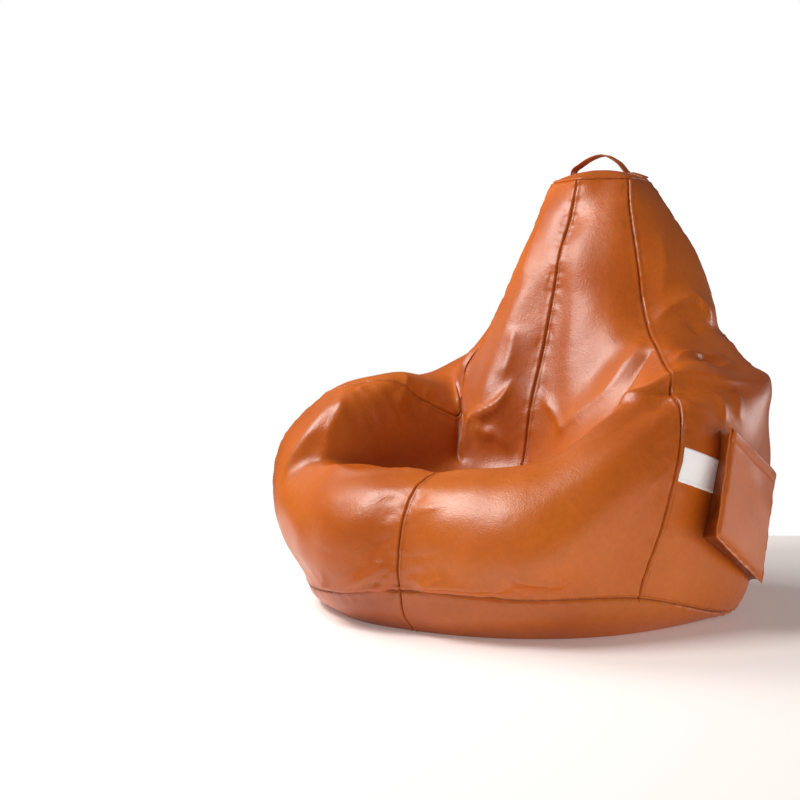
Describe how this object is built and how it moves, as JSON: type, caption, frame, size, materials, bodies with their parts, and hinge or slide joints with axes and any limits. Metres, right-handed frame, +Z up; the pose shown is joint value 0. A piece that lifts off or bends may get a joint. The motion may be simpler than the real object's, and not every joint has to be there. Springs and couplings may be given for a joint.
{
  "type": "bean bag chair",
  "caption": "High-backed leather bean bag chair with a carrying strap, a side pouch pocket and a zipped inner bag.",
  "frame": {"origin": "on the floor at the middle of the base, under the middle of the bounding box", "axes": "+Z up, the chair faces -Y, +X towards the side with the pocket, which is the sitter's left"},
  "size_m": [0.9032, 0.8599, 0.877],
  "materials": {
    "cover_leather": "satin faux leather with a fine grain",
    "base_leather": "satin faux leather with a fine grain",
    "strap_leather": "folded and stitched faux leather",
    "pocket_leather": "satin faux leather with a fine grain",
    "label_cloth": "woven white cloth, blank",
    "zip_tape": "woven brown tape",
    "zip_coil": "moulded brown coil",
    "zip_metal": "satin antique brass",
    "inner_cloth": "plain woven lining cloth",
    "inner_zip": "white filling zip, sewn shut",
    "bead_fill": "expanded foam beads"
  },
  "bodies": {
    "bag": {"top_cap": "cover_leather", "front_right_panel": "cover_leather", "side_right_panel": "cover_leather", "rear_right_panel": "cover_leather", "rear_left_panel": "cover_leather", "side_left_panel": "cover_leather", "front_left_panel": "cover_leather", "base_panel_right": "base_leather", "base_panel_left": "base_leather", "zip_tape_left": "zip_tape", "zip_tape_right": "zip_tape", "zip_coil_left": "zip_coil", "zip_coil_right": "zip_coil", "zip_end_stops": "zip_metal", "handle_sewn_ends": "strap_leather", "pocket_face": "pocket_leather", "pocket_gusset": "pocket_leather", "pocket_hem": "pocket_leather", "pocket_welt": "pocket_leather", "label": "label_cloth", "inner_bag_body": "inner_cloth", "inner_bag_base": "inner_cloth", "inner_bag_zip": "inner_zip", "bead_fill": "bead_fill"},
    "carry_handle": {"handle_strap": "strap_leather"},
    "slider": {"zip_slider": "zip_metal"},
    "pull_tab": {"zip_pull": "zip_metal"}
  },
  "joints": [
    {"name": "handle_flop", "type": "hinge", "parent": "bag", "child": "carry_handle", "pos_m": [0, 0.34, 0.8553], "axis": [1, 0, 0], "range_deg": [-60, 60]},
    {"name": "zip_slide", "type": "slide", "parent": "bag", "child": "slider", "axis": [0, -1, 0], "range_m": [0, 0.498]},
    {"name": "pull_flip", "type": "hinge", "parent": "slider", "child": "pull_tab", "pos_m": [0, 0.249, 0.0054], "axis": [1, 0, 0], "range_deg": [0, 180]}
  ]
}
